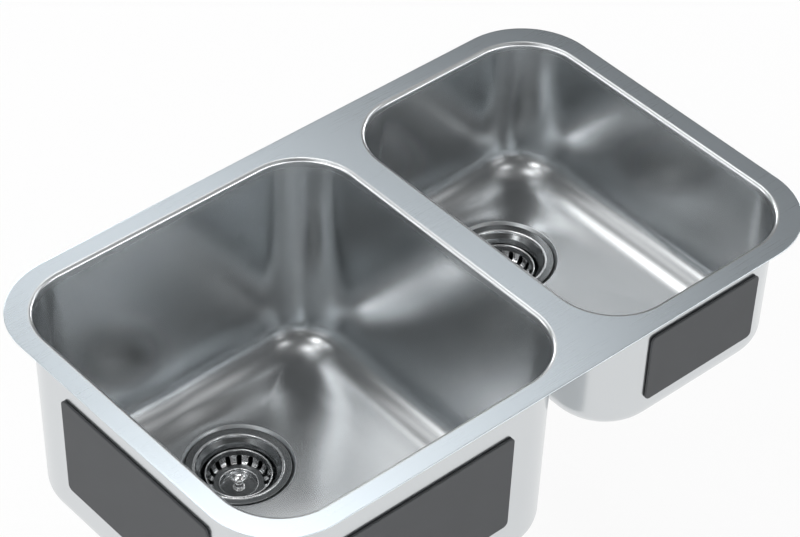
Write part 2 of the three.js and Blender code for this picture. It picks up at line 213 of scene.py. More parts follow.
# A new node, with its inputs set or linked. A node that is given stands for its first output.
def addNode(tree, kind, inputs=None, **settings):
    node = tree.nodes.new(kind)
    for name, value in settings.items():
        setattr(node, name, value)
    for name, value in (inputs or {}).items():
        if isinstance(value, bpy.types.Node):
            value = value.outputs[0]
        if isinstance(value, bpy.types.NodeSocket):
            tree.links.new(value, node.inputs[name])
        else:
            node.inputs[name].default_value = value
    return node


# Arithmetic, in a material's tree or in a geometry tree.
def maths(tree, operation, *values, clamp=False):
    return addNode(tree, "ShaderNodeMath", dict(enumerate(values)), operation=operation,
                   use_clamp=clamp).outputs[0]


def vectorMaths(tree, operation, *values, **named):
    return addNode(tree, "ShaderNodeVectorMath", {**dict(enumerate(values)), **named},
                   operation=operation).outputs[0]


# A node tree with named inputs and outputs, and its inputs' sockets. An input is given as its
# first value, from which the kind of its socket follows, or as the kind alone.
def newTree(name, treeKind, inputs, outputs):
    kinds = {int: "Int", float: "Float", tuple: "Color"}
    tree = bpy.data.node_groups.new(name, treeKind)
    for label, value in inputs.items():
        kind = kinds.get(type(value), value)
        socket = tree.interface.new_socket(name=label, in_out="INPUT",
                                           socket_type="NodeSocket" + kind)
        if kind != value:
            socket.default_value = value
    for label, kind in outputs.items():
        tree.interface.new_socket(name=label, in_out="OUTPUT", socket_type="NodeSocket" + kind)
    return tree, tree.nodes.new("NodeGroupInput").outputs


# Fine cloudy mottling of a surface: a colour and a roughness that drift a little.
def makeDriftGroup():
    group, given = newTree("surfaceDrift", "ShaderNodeTree", {
        "Place": "Vector",
        "Colour": (0.6, 0.6, 0.6, 1),
        "Roughness": 0.3,
        "Cloud Size": 6.0,
        "Colour Drift": 0.04,
        "Roughness Drift": 0.04,
        "Grain Size": 900.0,
    }, {"Colour": "Color", "Roughness": "Float", "Grain": "Float"})
    cloud = addNode(group, "ShaderNodeTexNoise", {
        "Vector": given["Place"], "Scale": given["Cloud Size"], "Detail": 4.0, "Roughness": 0.55})
    centred = maths(group, "SUBTRACT", cloud, 0.5)
    tint = maths(group, "MULTIPLY_ADD", centred, given["Colour Drift"], 1.0)
    colour = vectorMaths(group, "SCALE", given["Colour"], Scale=tint)
    rough = maths(group, "MULTIPLY_ADD", centred, given["Roughness Drift"], given["Roughness"])
    grain = addNode(group, "ShaderNodeTexNoise", {
        "Vector": given["Place"], "Scale": given["Grain Size"], "Detail": 2.0, "Roughness": 0.6})
    addNode(group, "NodeGroupOutput", {"Colour": colour, "Roughness": rough, "Grain": grain})
    return group


# Fine straight scratches of a brushed finish, drawn along the first direction of the map.
def makeBrushGroup():
    group, given = newTree("brushedLines", "ShaderNodeTree", {
        "Place": "Vector",
        "Line Length": 12.0,
        "Line Width": 2600.0,
    }, {"Lines": "Float"})
    size = addNode(group, "ShaderNodeCombineXYZ", {
        "X": given["Line Length"], "Y": given["Line Width"], "Z": given["Line Width"]})
    stretched = vectorMaths(group, "MULTIPLY", given["Place"], size)
    lines = addNode(group, "ShaderNodeTexNoise", {
        "Vector": stretched, "Scale": 1.0, "Detail": 3.0, "Roughness": 0.65})
    addNode(group, "NodeGroupOutput", {"Lines": lines})
    return group


driftGroup = makeDriftGroup()
brushGroup = makeBrushGroup()
bumpDepth = 0.0005          # metres that a bump of full strength stands for

# Satin stainless steel: the rolled face of the deck, and how the bowls and recesses differ.
rolledSteel = {
    # The deck's colour leans blue: a painted reflection of bluish light, on top of the steel's own
    # grey.
    "colour": (0.60, 0.66, 0.705, 1),
    "roughness": 0.28,
    "cloudSize": 9.0,
    "colourDrift": 0.05,
    "roughnessDrift": 0.03,
    "grainSize": 1400.0,
    "lineLength": 8.0,
    "lineCount": 2200.0,
    "lineRoughness": 0.04,
    "lineHeight": 0.003,
    "curveRoughness": 0.0,      # added where the skin's "soft" value is 1
}

steelFinishes = {
    "bowlSteel": {
        **rolledSteel,
        "colour": (0.64, 0.66, 0.673, 1),
        "roughness": 0.22,
        "cloudSize": 7.0,
        "roughnessDrift": 0.05,
        "lineLength": 12.0,
        "lineCount": 2600.0,
        "lineRoughness": 0.05,
        "lineHeight": 0.002,
        "curveRoughness": 0.14,
    },
    "recessSteel": {
        **rolledSteel,
        "colour": (0.62, 0.64, 0.655, 1),
        "roughness": 0.36,
        "lineRoughness": 0.06,
    },
    "deckSteel": rolledSteel,
}

# name: colour, metal, roughness, cloud size, colour drift, roughness drift, grain size, bump
plainFinishes = {
    # Polished steel whose colour is made dark: painted shade standing in for the dark reflections
    # inside the drain.
    "polishedSteel": ((0.27, 0.28, 0.285, 1), 1.0, 0.22, 30.0, 0.06, 0.03, 1500.0, 0.003),
    # Steel whose colour is made near-white: a painted highlight for the basket, its post and the
    # strainer's bead.
    "highlightPaintedSteel": ((0.92, 0.925, 0.93, 1), 1.0, 0.12, 30.0, 0.06, 0.03, 1500.0, 0.003),
    "platedMetal": ((0.66, 0.66, 0.65, 1), 1.0, 0.22, 40.0, 0.08, 0.10, 1200.0, 0.03),
    "blackRubber": ((0.022, 0.022, 0.023, 1), 0.0, 0.62, 60.0, 0.30, 0.15, 2500.0, 0.12),
    "soundPad": ((0.045, 0.047, 0.05, 1), 0.0, 0.80, 40.0, 0.35, 0.12, 900.0, 0.45),
    "fibreBoard": ((0.34, 0.25, 0.14, 1), 0.0, 0.85, 90.0, 0.45, 0.10, 1600.0, 0.35),
    "whitePlastic": ((0.80, 0.79, 0.75, 1), 0.0, 0.42, 30.0, 0.06, 0.10, 1500.0, 0.05),
}


# Places the drift group in a material, on the piece's own coordinates.
def placedDrift(tree, colour, roughness, cloudSize, colourDrift, roughnessDrift, grainSize):
    coordinates = addNode(tree, "ShaderNodeTexCoord")
    return addNode(tree, "ShaderNodeGroup", {
        "Place": coordinates.outputs["Object"],
        "Colour": colour,
        "Roughness": roughness,
        "Cloud Size": cloudSize,
        "Colour Drift": colourDrift,
        "Roughness Drift": roughnessDrift,
        "Grain Size": grainSize,
    }, node_tree=driftGroup)


def endMaterial(tree, drift, metal, roughness, height, strength):
    bump = addNode(tree, "ShaderNodeBump", {
        "Height": height, "Strength": strength, "Distance": bumpDepth})
    shader = addNode(tree, "ShaderNodeBsdfPrincipled", {
        "Base Color": drift.outputs["Colour"], "Metallic": metal, "Roughness": roughness,
        "Normal": bump})
    addNode(tree, "ShaderNodeOutputMaterial", {"Surface": shader})


def satinSteel(name, values):
    material = bpy.data.materials.new(name)
    tree = emptyTree(material)
    drift = placedDrift(tree, values["colour"], values["roughness"], values["cloudSize"],
                        values["colourDrift"], values["roughnessDrift"], values["grainSize"])
    brush = addNode(tree, "ShaderNodeUVMap", uv_map="brush")
    lines = addNode(tree, "ShaderNodeGroup", {
        "Place": brush, "Line Length": values["lineLength"], "Line Width": values["lineCount"]},
        node_tree=brushGroup)
    centred = maths(tree, "SUBTRACT", lines, 0.5)
    rough = maths(tree, "MULTIPLY_ADD", centred, values["lineRoughness"],
                  drift.outputs["Roughness"])
    if values["curveRoughness"]:
        soft = addNode(tree, "ShaderNodeAttribute", attribute_name="soft")
        rough = maths(tree, "MULTIPLY_ADD", soft.outputs["Fac"], values["curveRoughness"], rough)
    endMaterial(tree, drift, 1.0, rough, lines, values["lineHeight"])
    return material


def plainFinish(name, colour, metal, roughness, *driftSizes, bump):
    material = bpy.data.materials.new(name)
    tree = emptyTree(material)
    drift = placedDrift(tree, colour, roughness, *driftSizes)
    endMaterial(tree, drift, metal, drift.outputs["Roughness"], drift.outputs["Grain"], bump)
    return material


steels = {name: satinSteel(name, values) for name, values in steelFinishes.items()}
finishes = {name: plainFinish(name, *values, bump=bump)
            for name, (*values, bump) in plainFinishes.items()}
print("finishes ready")


# The pressed sheet: deck and bowls, in millimetres.
sheet = {
    "thickness": 1.2,
    "rimFillet": 4.2,
    "coveReach": 46.0,      # the cove is tighter at the wall than at the floor
    "coveHeight": 32.0,
    "wallDraft": 0.02,
    "cornerRadius": 66.0,
    "width": 406.0,
    "drainFromRear": 116.5,
    "holeRadius": 45.0,
    "recessRadius": 55.8,
    "recessFillet": 1.2,
    "recessDepth": 4.0,
    "recessDish": 1.4,
    "lipRadius": 59.2,
    "lipFillet": 1.6,
    "lipLand": 4.0,         # level strip of floor round the lip
    "recessFinish": 1.2,    # how far past the lip the recess's finish goes
    "rimLand": 0.3,         # flat strip between the rim's curve and the weld to the deck
    "floorEase": 0.4,       # how much of the floor's fall is eased in and out
    "dishShare": 0.7,       # how much of the fall is made near the walls
    "dishReach": 100.0,
    "creaseWidth": 18.0,
    "sideStep": 8.0,
    "cornerSteps": 20,
    "rimSteps": 8,
    "wallSteps": 14,
    "coveSteps": 16,
    "floorSteps": 22,
    "rimSoftness": 0.6,     # shares of the bowl steel's curveRoughness
    "coveSoftness": 0.24,
}

bowls = {
    "large": {"centre": -212.0, "length": 385.0, "depth": 248.0, "fall": 9.0},
    "small": {"centre": 154.5, "length": 270.0, "depth": 170.0, "fall": 6.0},
}

deck = {
    "flangeWidth": 25.0,
    "cornerRadius": 84.0,
    "edgeRadius": 0.45,
    "flatBand": 1.5,
    "cornerSteps": 24,
    "edgeSteps": 4,
}


# One level of a bowl: a rectangle with round corners drawn in by the inset, anticlockwise.
def bowlLoop(bowl, inset):
    radius = sheet["cornerRadius"] - inset
    x = bowl["length"] / 2 - inset - radius
    y = sheet["width"] / 2 - inset - radius
    loop = []
    corners = roundCorners(x, y)
    for index, (cornerX, cornerY, start) in enumerate(corners):
        centre = (bowl["centre"] + cornerX, cornerY)
        loop += arcPoints(centre, radius, start, start + 90, sheet["cornerSteps"])
        straight = 2 * (y if index % 2 == 0 else x)
        parts = max(1, round(straight / sheet["sideStep"]))
        nextX, nextY, nextStart = corners[(index + 1) % 4]
        following = arcPoints((bowl["centre"] + nextX, nextY), radius, nextStart, nextStart, 1)[0]
        last = loop[-1]
        loop += [(last[0] + (following[0] - last[0]) * part / parts,
                  last[1] + (following[1] - last[1]) * part / parts) for part in range(1, parts)]
    return loop


def drainPlace(name):
    bowl = bowls[name]
    return Vector((bowl["centre"], sheet["width"] / 2 - sheet["drainFromRear"],
                   -(bowl["depth"] + bowl["fall"]))) * mm


# Levels of one face of the sheet, from the rim down to the foot of the wall's cove, which ends
# with the slope that the floor starts with.
def wallLevels(bowl, skin, slope=0.0):
    rim, reach, rise = sheet["rimFillet"], sheet["coveReach"], sheet["coveHeight"]
    wallSteps, coveSteps = sheet["wallSteps"], sheet["coveSteps"]
    end = math.atan2(rise, reach * slope)
    wallTop, wallBottom = -rim, rise * math.sin(end) - bowl["depth"]
    foot = -sheet["wallDraft"] * (wallBottom - wallTop)
    levels = [(-rim - sheet["rimLand"], -skin)]
    levels += arcPoints((-rim, -rim), rim - skin, 90, 0, sheet["rimSteps"])
    levels += [(foot * step / wallSteps - skin, wallTop + (wallBottom - wallTop) * step / wallSteps)
               for step in range(1, wallSteps)]
    for step in range(coveSteps + 1):
        turn = end * step / coveSteps
        out = Vector((-rise * math.cos(turn), -reach * math.sin(turn))).normalized() * skin
        levels.append((foot + reach * (1 - math.cos(turn)) + out.x,
                       wallBottom - rise * math.sin(turn) + out.y))
    return levels


# Levels of the drain recess, from the lip in the floor to the hole, below the lip. The sheet's
# second face is further out, except at the edge of the hole, which stands upright.
def recessLevels(skin):
    outline = [
        (sheet["lipRadius"] + sheet["lipLand"], 0.0),
        (sheet["lipRadius"], 0.0, sheet["lipFillet"]),
        (sheet["recessRadius"], -sheet["recessDepth"], sheet["recessFillet"]),
        (sheet["holeRadius"], -sheet["recessDepth"] - sheet["recessDish"]),
    ]
    soft = softOutline(outline, closed=False, steps=5)
    return [(radius + (skin if radius > sheet["holeRadius"] else 0), height - skin)
            for radius, height in soft]


def easedFall(share):
    eased = share * share * (3 - 2 * share)
    return share + (eased - share) * sheet["floorEase"]


# How far a point of the floor is from the foot of the walls. The floor's creases run in from
# the corners halfway between two walls.
def wallDistance(bowl, x, y):
    inset = wallLevels(bowl, 0.0)[-1][0]
    radius = sheet["cornerRadius"] - inset
    across = abs(x - bowl["centre"]) - (bowl["length"] / 2 - inset - radius)
    along = abs(y) - (sheet["width"] / 2 - inset - radius)
    outside = math.hypot(max(across, 0), max(along, 0))
    if outside > 0:
        return radius - outside
    inside = (across + along + math.hypot(across - along, sheet["creaseWidth"])) / 2
    return radius - min(inside, 0)


# The share of its whole fall that the floor has made at a point. The start is how far the foot
# of the cove is from the foot of the walls there.
def floorFall(bowl, x, y, share, start):
    near = min(max(wallDistance(bowl, x, y) - start, 0.0) / sheet["dishReach"], 1.0)
    dish = sheet["dishShare"] * near * (2 - near)
    return 1 - (1 - easedFall(share)) * (1 - dish)


# For each column of a bowl's skin: its place on the rim, its way inward and the slope with which
# the floor starts at the foot of the cove.
def floorStarts(name):
    rounds = 3              # the slope and the place of the cove's foot depend on each other
    leastTurn = 0.3         # for columns whose way to the drain runs along the wall
    bowl = bowls[name]
    drain = drainPlace(name).xy / mm
    starts = []
    for outer, inner in zip(bowlLoop(bowl, 0), bowlLoop(bowl, 1)):
        outer = Vector(outer)
        inward = Vector(inner) - outer
        slope = 0.0
        for _ in range(rounds):
            way = drain - outer - inward * wallLevels(bowl, 0.0, slope)[-1][0]
            towards = max(way.normalized().dot(inward), leastTurn)
            run = (way.length - recessLevels(0.0)[0][0]) * towards
            slope = bowl["fall"] * ((1 - sheet["floorEase"]) / run
                                    + 2 * sheet["dishShare"] / sheet["dishReach"])
        starts.append((outer, inward, slope))
    return starts


# One face of a bowl as rows of points in metres.
def bowlRows(name, skin):
    bowl = bowls[name]
    drain = drainPlace(name) / mm
    recess = recessLevels(skin)
    floorSteps = sheet["floorSteps"]
    columns = []
    for outer, inward, slope in floorStarts(name):
        column = [(*(outer + inward * inset), height)
                  for inset, height in wallLevels(bowl, skin, slope)]
        foot = Vector(column[-1][:2])
        start = wallDistance(bowl, *foot)
        outward = (foot - drain.xy).normalized()
        lip = drain.xy + outward * recess[0][0]
        for step in range(1, floorSteps + 1):
            share = step / floorSteps
            x, y = foot.lerp(lip, share)
            fall = bowl["fall"] * floorFall(bowl, x, y, share, start)
            column.append((x, y, -bowl["depth"] - fall - skin))
        column += [(*(drain.xy + outward * radius), drain.z + depth)
                   for radius, depth in recess[1:]]
        columns.append(column)
    return [[(x * mm, y * mm, z * mm) for x, y, z in row] for row in zip(*columns)]


# How soft the shine of a bowl's face is at each of its rows: the rim's curve and the cove shine
# softer than the walls and the floor.
def softShares(rowCount):
    rampRows = 3            # rows over which the cove's softness comes and goes
    cove = sheet["coveSoftness"]
    ramp = [cove * step / (rampRows + 1) for step in range(1, rampRows + 1)]
    shares = [sheet["rimSoftness"]] * (sheet["rimSteps"] + 2)
    shares += [0.0] * (sheet["wallSteps"] - 1 - rampRows)
    shares += ramp + [cove] * (sheet["coveSteps"] + 1) + ramp[::-1]
    return shares + [0.0] * (rowCount - len(shares))


def makeBowl(name):
    inside = bowlRows(name, 0.0)
    outside = bowlRows(name, sheet["thickness"])
    rows = inside + outside[::-1]
    rim = inside[1]
    around = [0.0]
    for here, following in zip(rim, rim[1:] + rim[:1]):
        around.append(around[-1] + (Vector(here) - Vector(following)).length)
    down = [0.0]
    for here, following in zip(rows, rows[1:]):
        down.append(down[-1] + (Vector(here[0]) - Vector(following[0])).length)
    mesh = skinMesh(name + "BowlShell", rows, True, lambda row, place: (around[place], down[row]))
    shares = softShares(len(inside))
    shares += shares[::-1]
    soft = mesh.attributes.new("soft", "FLOAT", "POINT")
    soft.data.foreach_set("value", [share for share, row in zip(shares, rows) for _ in row])
    piece = finishMesh(name + "BowlShell", mesh, steels["bowlSteel"])
    edge = sheet["lipRadius"] + sheet["recessFinish"]
    addAccent(piece, steels["recessSteel"], drainPlace(name), lambda reach, height: reach < edge)
    settle(piece, "sink", "brushed_steel", name + "_bowl")


# The outer edge of the deck, drawn in by the inset.
def deckLoop(inset):
    left = bowls["large"]["centre"] - bowls["large"]["length"] / 2 - deck["flangeWidth"]
    right = bowls["small"]["centre"] + bowls["small"]["length"] / 2 + deck["flangeWidth"]
    middle = (left + right) / 2
    radius = deck["cornerRadius"]
    x = (right - left) / 2 - radius
    y = sheet["width"] / 2 + deck["flangeWidth"] - radius
    loop = []
    for cornerX, cornerY, start in roundCorners(x, y):
        loop += arcPoints((middle + cornerX, cornerY), radius - inset, start, start + 90,
                          deck["cornerSteps"])
    return loop


# The flat face between the outer loop and the two holes, at one height.
def fillFlat(build, loops, facesUp):
    edges = []
    for loop in loops:
        for here, following in zip(loop, loop[1:] + loop[:1]):
            edges.append(build.edges.get((here, following)) or build.edges.new((here, following)))
    made = bmesh.ops.triangle_fill(build, edges=edges, use_beauty=True,
                                   normal=(0, 0, 1 if facesUp else -1))
    for face in made["geom"]:
        if isinstance(face, bmesh.types.BMFace) and (face.normal.z > 0) != facesUp:
            face.normal_flip()


def makeDeck():
    thickness = sheet["thickness"]
    edge = deck["edgeRadius"]
    levels = [(edge + deck["flatBand"], 0.0)]
    levels += arcPoints((edge, -edge), edge, 90, 180, deck["edgeSteps"])
    levels += arcPoints((edge, edge - thickness), edge, 180, 270, deck["edgeSteps"])
    levels.append((edge + deck["flatBand"], -thickness))
    mesh = bpy.data.meshes.new("deckSheet")
    build = bmesh.new()
    rows = [[build.verts.new((x * mm, y * mm, height * mm)) for x, y in deckLoop(inset)]
            for inset, height in levels]
    for here, after in zip(rows, rows[1:]):
        for column in range(len(here)):
            following = (column + 1) % len(here)
            build.faces.new([here[column], after[column], after[following], here[following]])
    grow = sheet["rimFillet"] + sheet["rimLand"]
    topHoles, lowHoles = [], []
    for bowl in bowls.values():
        loop = bowlLoop(bowl, -grow)
        top = [build.verts.new((x * mm, y * mm, 0)) for x, y in loop]
        low = [build.verts.new((x * mm, y * mm, -thickness * mm)) for x, y in loop]
        for column in range(len(loop)):
            following = (column + 1) % len(loop)
            build.faces.new([top[column], top[following], low[following], low[column]])
        topHoles.append(top)
        lowHoles.append(low)
    fillFlat(build, [rows[0]] + topHoles, True)
    fillFlat(build, [rows[-1]] + lowHoles, False)
    layer = build.loops.layers.uv.new("brush")
    for face in build.faces:
        for corner in face.loops:
            corner[layer].uv = (corner.vert.co.x, corner.vert.co.y)
    build.to_mesh(mesh)
    build.free()
    piece = finishMesh("deckSheet", mesh, steels["deckSteel"])
    settle(piece, "sink", "brushed_steel", "deck_flange")


makeDeck()
for bowlName in bowls:
    makeBowl(bowlName)
print("pressed sheet made")


# Sound-deadening pads on the outside of the bowls, in millimetres.
pads = {
    "thickness": 3.0,
    "gap": 0.3,
    "share": 0.56,          # of the bowl's length or width
    "heightShare": 0.5,     # of the bowl's depth
    "cornerRadius": 6.0,
    "edgeRadius": 0.8,
    "frontMargin": 52.0,    # floor pad: from the bowl's front and from the recess
    "recessMargin": 17.3,
    "cornerSteps": 5,
    "edgeSteps": 3,
    "sideSteps": 12,
    "faceSteps": 8,
    "innerLoop": 0.02,      # first and last loop of a face, as shares of its outline
    "outerLoop": 0.97,
    "leastCorner": 0.4,
}


# A slab on a surface: place(across, up, thickness) gives a point on it, all in millimetres.
def slabMesh(name, halfAcross, halfUp, place):
    radius, edge, thick = pads["cornerRadius"], pads["edgeRadius"], pads["thickness"]
    sideSteps, faceSteps, edgeSteps = pads["sideSteps"], pads["faceSteps"], pads["edgeSteps"]

    def loop(inset, share):
        soft = max(radius - inset, pads["leastCorner"])
        x, y = halfAcross - inset - soft, halfUp - inset - soft
        corners = [arcPoints(centre, soft, start, start + 90, pads["cornerSteps"])
                   for *centre, start in roundCorners(x, y)]
        points = []
        for corner, following in zip(corners, corners[1:] + corners[:1]):
            points += corner
            here, after = Vector(corner[-1]), Vector(following[0])
            points += [tuple(here.lerp(after, step / sideSteps)) for step in range(1, sideSteps)]
        return [(across * share, up * share) for across, up in points]

    shares = [step / faceSteps for step in range(1, faceSteps)]
    shares = [pads["innerLoop"], *shares, pads["outerLoop"]]
    levels = [(edge, 0.0, share) for share in shares]
    levels += [(*point, 1.0) for point in arcPoints((edge, edge), edge, 270, 180, edgeSteps)]
    levels += [(*point, 1.0) for point in arcPoints((edge, thick - edge), edge, 180, 90, edgeSteps)]
    levels += [(edge, thick, share) for share in reversed(shares)]
    rows = [[place(0, 0, 0)]]
    rows += [[place(across, up, height) for across, up in loop(inset, share)]
             for inset, height, share in levels]
    rows.append([place(0, 0, thick)])
    return skinMesh(name, rows)


def wallPad(name, label, side):
    bowl = bowls[name]
    middle = -bowl["depth"] / 2
    halfUp = bowl["depth"] * pads["heightShare"] / 2
    alongX = side[1] != 0
    halfAcross = (bowl["length"] if alongX else sheet["width"]) * pads["share"] / 2
    reach = (sheet["width"] if alongX else bowl["length"]) / 2

    def place(across, up, thick):
        height = middle + up
        inset = -sheet["wallDraft"] * (height + sheet["rimFillet"])
        out = reach - inset + sheet["thickness"] + pads["gap"] + thick
        if alongX:
            return Vector((bowl["centre"] - across * side[1], out * side[1], height)) * mm
        return Vector((bowl["centre"] + out * side[0], across * side[0], height)) * mm

    mesh = slabMesh(name + label, halfAcross, halfUp, place)
    return finishMesh(name + label, mesh, finishes["soundPad"])


def floorPad(name):
    bowl = bowls[name]
    drain = drainPlace(name) / mm
    feet = [outer + inward * wallLevels(bowl, 0.0, slope)[-1][0]
            for outer, inward, slope in floorStarts(name)]
    front = -sheet["width"] / 2 + pads["frontMargin"]
    rear = drain.y - sheet["recessRadius"] - pads["recessMargin"]
    bearings = sorted((math.atan2(y - drain.y, x - drain.x), math.hypot(x - drain.x, y - drain.y),
                       wallDistance(bowl, x, y)) for x, y in feet)

    # How far the cove's foot is from the drain's axis in one direction, and from the wall's foot.
    def footReach(turn):
        before = max([entry for entry in bearings if entry[0] <= turn], default=bearings[-1])
        after = min([entry for entry in bearings if entry[0] > turn], default=bearings[0])
        gap = (after[0] - before[0]) % (2 * math.pi)
        share = ((turn - before[0]) % (2 * math.pi)) / gap if gap else 0.0
        return [low + (high - low) * share for low, high in zip(before[1:], after[1:])]

    def place(across, up, thick):
        x = bowl["centre"] + across
        y = (front + rear) / 2 + up
        far, start = footReach(math.atan2(y - drain.y, x - drain.x))
        near = sheet["lipRadius"] + sheet["lipLand"]
        share = (far - math.hypot(x - drain.x, y - drain.y)) / (far - near)
        fall = bowl["fall"] * floorFall(bowl, x, y, min(max(share, 0.0), 1.0), start)
        height = -bowl["depth"] - fall - sheet["thickness"] - pads["gap"] - thick
        return Vector((x, y, height)) * mm

    halfAcross = bowl["length"] * pads["share"] / 2
    mesh = slabMesh(name + "FloorPad", halfAcross, (rear - front) / 2, place)
    mesh.flip_normals()
    return finishMesh(name + "FloorPad", mesh, finishes["soundPad"])


for bowlName in bowls:
    outerEnd = -1 if bowlName == "large" else 1
    for where, side in {"front": (0, -1), "rear": (0, 1), "end": (outerEnd, 0)}.items():
        pad = wallPad(bowlName, where.title() + "Pad", side)
        settle(pad, "sink", "sound_pad", bowlName + "_" + where + "_pad")
    settle(floorPad(bowlName), "sink", "sound_pad", bowlName + "_floor_pad")
print("sound pads made")


# A geometry node tree with named sizes, in metres.
def newShapeTree(name, sizes):
    inputs = {"Geometry": "Geometry", **sizes, "Material": "Material"}
    return newTree(name, "GeometryNodeTree", inputs, {"Geometry": "Geometry"})


def endShapeTree(tree, given, shape):
    single = addNode(tree, "GeometryNodeRealizeInstances", {"Geometry": shape})
    painted = addNode(tree, "GeometryNodeSetMaterial", {
        "Geometry": single, "Material": given["Material"]})
    addNode(tree, "NodeGroupOutput", {"Geometry": painted})


# A screw thread sunk into the turned stretch between two heights.
def makeThreadTree():
    tree, given = newShapeTree("screwThread", {
        "Pitch": 0.002,
        "Depth": 0.001,
        "Bottom": 0.0,
        "Top": 0.01,
        "Radius": 0.04,
    })
    place = addNode(tree, "GeometryNodeInputPosition")
    across, along, height = addNode(tree, "ShaderNodeSeparateXYZ", {0: place}).outputs
    flat = addNode(tree, "ShaderNodeCombineXYZ", {"X": across, "Y": along})
    reach = addNode(tree, "ShaderNodeVectorMath", {0: flat}, operation="LENGTH").outputs["Value"]
    outward = vectorMaths(tree, "NORMALIZE", flat)
    turns = maths(tree, "DIVIDE", maths(tree, "ARCTAN2", along, across), 2 * math.pi)
    pitch = given["Pitch"]
    climbs = maths(tree, "DIVIDE", height, pitch)
    wave = maths(tree, "PINGPONG", maths(tree, "SUBTRACT", climbs, turns), 0.5)
    above = maths(tree, "SUBTRACT", height, given["Bottom"])
    below = maths(tree, "SUBTRACT", given["Top"], height)
    fade = maths(tree, "MULTIPLY", maths(tree, "DIVIDE", above, pitch, clamp=True),
                 maths(tree, "DIVIDE", below, pitch, clamp=True))
    sunk = maths(tree, "MULTIPLY", maths(tree, "MULTIPLY", wave, -2.0), given["Depth"])
    offset = vectorMaths(tree, "SCALE", outward, Scale=maths(tree, "MULTIPLY", sunk, fade))
    inside = maths(tree, "SUBTRACT", given["Radius"], 0.0001)      # a hair less than the thread
    onThread = maths(tree, "GREATER_THAN", reach, inside)
    moved = addNode(tree, "GeometryNodeSetPosition", {
        "Geometry": given["Geometry"], "Selection": onThread, "Offset": offset})
    endShapeTree(tree, given, moved)
    return tree


# Rounded blocks that point away from the axis, added to the body or cut out of it.
def makeBlocksTree(name, operation):
    tree, given = newShapeTree(name, {
        "Count": 6,
        "From Radius": 0.01,
        "To Radius": 0.02,
        "Width": 0.005,
        "Bottom": 0.0,
        "Top": 0.01,
        "Corner": 0.001,
        "First Turn": 0.0,
    })
    height = maths(tree, "SUBTRACT", given["Top"], given["Bottom"])
    both = maths(tree, "ADD", given["Top"], given["Bottom"])
    middle = maths(tree, "MULTIPLY", both, 0.5)
    near = addNode(tree, "ShaderNodeCombineXYZ", {"X": given["From Radius"], "Z": middle})
    far = addNode(tree, "ShaderNodeCombineXYZ", {"X": given["To Radius"], "Z": middle})
    line = addNode(tree, "GeometryNodeCurvePrimitiveLine", {"Start": near, "End": far})
    section = addNode(tree, "GeometryNodeCurvePrimitiveQuadrilateral", {
        "Width": given["Width"], "Height": height})
    rounded = addNode(tree, "GeometryNodeFilletCurve", {
        "Curve": section, "Radius": given["Corner"], "Limit Radius": True})
    block = addNode(tree, "GeometryNodeCurveToMesh", {
        "Curve": line, "Profile Curve": rounded, "Fill Caps": True})
    points = addNode(tree, "GeometryNodePoints", {"Count": given["Count"]})
    index = addNode(tree, "GeometryNodeInputIndex")
    step = maths(tree, "DIVIDE", 2 * math.pi, given["Count"])
    turn = maths(tree, "MULTIPLY_ADD", index, step, given["First Turn"])
    turned = addNode(tree, "ShaderNodeCombineXYZ", {"Z": turn})
    copies = addNode(tree, "GeometryNodeInstanceOnPoints", {
        "Points": points, "Instance": block, "Rotation": turned})
    single = addNode(tree, "GeometryNodeRealizeInstances", {"Geometry": copies})
    body = "Mesh 1" if operation == "DIFFERENCE" else "Mesh 2"
    merged = addNode(tree, "GeometryNodeMeshBoolean", {body: given["Geometry"]},
                     operation=operation, solver="MANIFOLD")
    tree.links.new(single.outputs[0], merged.inputs["Mesh 2"])
    endShapeTree(tree, given, merged)
    return tree


threadTree = makeThreadTree()
addTree = makeBlocksTree("blocksAdded", "UNION")
cutTree = makeBlocksTree("slotsCut", "DIFFERENCE")


# Runs a mesh through a tree with its sizes in millimetres, counts and turns aside.
def shaped(mesh, tree, material, **sizes):
    holder = bpy.data.objects.new("holder", mesh)
    scene.collection.objects.link(holder)
    modifier = holder.modifiers.new("shape", "NODES")
    modifier.node_group = tree
    sockets = {item.name: item.identifier for item in tree.interface.items_tree
               if item.in_out == "INPUT"}
    for label, value in sizes.items():
        socket = "".join(" " + letter if letter.isupper() else letter for letter in label).title()
        plain = label in ("count", "firstTurn")
        modifier[sockets[socket]] = value if plain else value * mm
    modifier[sockets["Material"]] = material
    graph = bpy.context.evaluated_depsgraph_get()
    result = bpy.data.meshes.new_from_object(holder.evaluated_get(graph), depsgraph=graph)
    result.name = mesh.name
    bpy.data.objects.remove(holder)
    return result


def joined(first, second):
    build = bmesh.new()
    build.from_mesh(first)
    build.from_mesh(second)
    build.to_mesh(first)
    build.free()
    return first


# The strainers, in millimetres, with heights from the recess lip in the bowl's floor.
strainer = {
    "flangeRadius": 55.45,
    "flangeTop": -1.15,
    "beadTop": -1.3,
    "mouthRadius": 38.2,
    "mouthHeight": -12.5,
    "threadRadius": 42.5,
    "threadTop": -7.4,
    "threadBottom": -36.5,
    "threadPitch": 2.2,
    "threadDepth": 0.9,
    "cupRadius": 36.0,
    "seat": -45.5,
    "outletRadius": 19.6,
    "spigotRadius": 23.8,
    "spigotEnd": -63.5,
    "crossTop": -45.8,
    "crossBottom": -48.4,
    "crossWidth": 4.0,
    "hubHole": 5.1,
    "hubWall": 2.4,
    "crossArms": 4,
    "crossCorner": 0.6,
    "crossSunk": 0.05,      # the arms are this much thinner than the hub, above and below
    "threadSteps": 110,
    "roundSteps": 128,
    "hubSteps": 64,
    "highlightInner": 44.5,      # the flange's bead, made near-white as a painted highlight
    "highlightOuter": 48.3,
    "highlightFoot": -3.4,
}


# A ring's outline, with all four corners rounded alike.
def plainRing(inner, outer, bottom, top, soft):
    return [(outer, bottom, soft), (outer, top, soft), (inner, top, soft), (inner, bottom, soft)]


